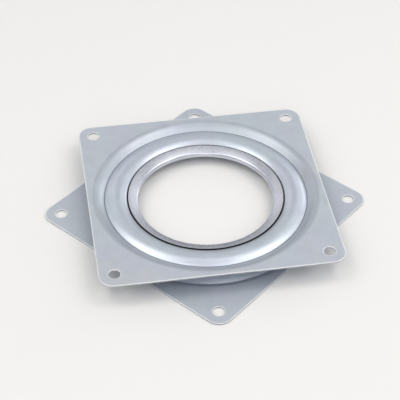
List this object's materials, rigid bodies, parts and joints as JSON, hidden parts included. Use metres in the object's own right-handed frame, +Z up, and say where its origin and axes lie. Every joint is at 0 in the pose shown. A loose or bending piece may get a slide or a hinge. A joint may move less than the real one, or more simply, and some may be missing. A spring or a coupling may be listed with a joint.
{
  "type": "lazy susan bearing",
  "caption": "Square lazy susan swivel bearing: dished sheet-steel plates that turn on a ring of balls, held together by a rolled centre ring, with a screw hole at each corner.",
  "frame": {"origin": "on the swivel axis, at the bottom plate's mounting face", "axes": "+Z up along the swivel axis, X and Y square to the bottom plate's sides"},
  "size_m": [0.1362, 0.1362, 0.0095],
  "materials": {
    "zinc_plate": "satin bluish zinc plating on pressed sheet steel",
    "ring_steel": "rolled zinc-plated strip, brighter and slightly warmer than the plates",
    "ball_steel": "ground and polished bearing steel"
  },
  "bodies": {
    "base": {"bottom_plate": "zinc_plate", "retaining_ring": "ring_steel"},
    "top": {"top_plate": "zinc_plate"},
    "ball_train": {"ball_01": "ball_steel", "ball_02": "ball_steel", "ball_03": "ball_steel", "ball_04": "ball_steel", "ball_05": "ball_steel", "ball_06": "ball_steel", "ball_07": "ball_steel", "ball_08": "ball_steel", "ball_09": "ball_steel", "ball_10": "ball_steel", "ball_11": "ball_steel", "ball_12": "ball_steel", "ball_13": "ball_steel", "ball_14": "ball_steel", "ball_15": "ball_steel", "ball_16": "ball_steel", "ball_17": "ball_steel", "ball_18": "ball_steel"}
  },
  "joints": [
    {"name": "top_swivel", "type": "hinge", "parent": "base", "child": "top", "pos_m": [0, 0, 0.00475], "axis": [0, 0, 1], "continuous": true},
    {"name": "ball_orbit", "type": "hinge", "parent": "base", "child": "ball_train", "pos_m": [0, 0, 0.00475], "axis": [0, 0, 1], "continuous": true}
  ],
  "couplings": [
    {"joint": "ball_orbit", "follows": "top_swivel", "ratio": 0.5}
  ]
}
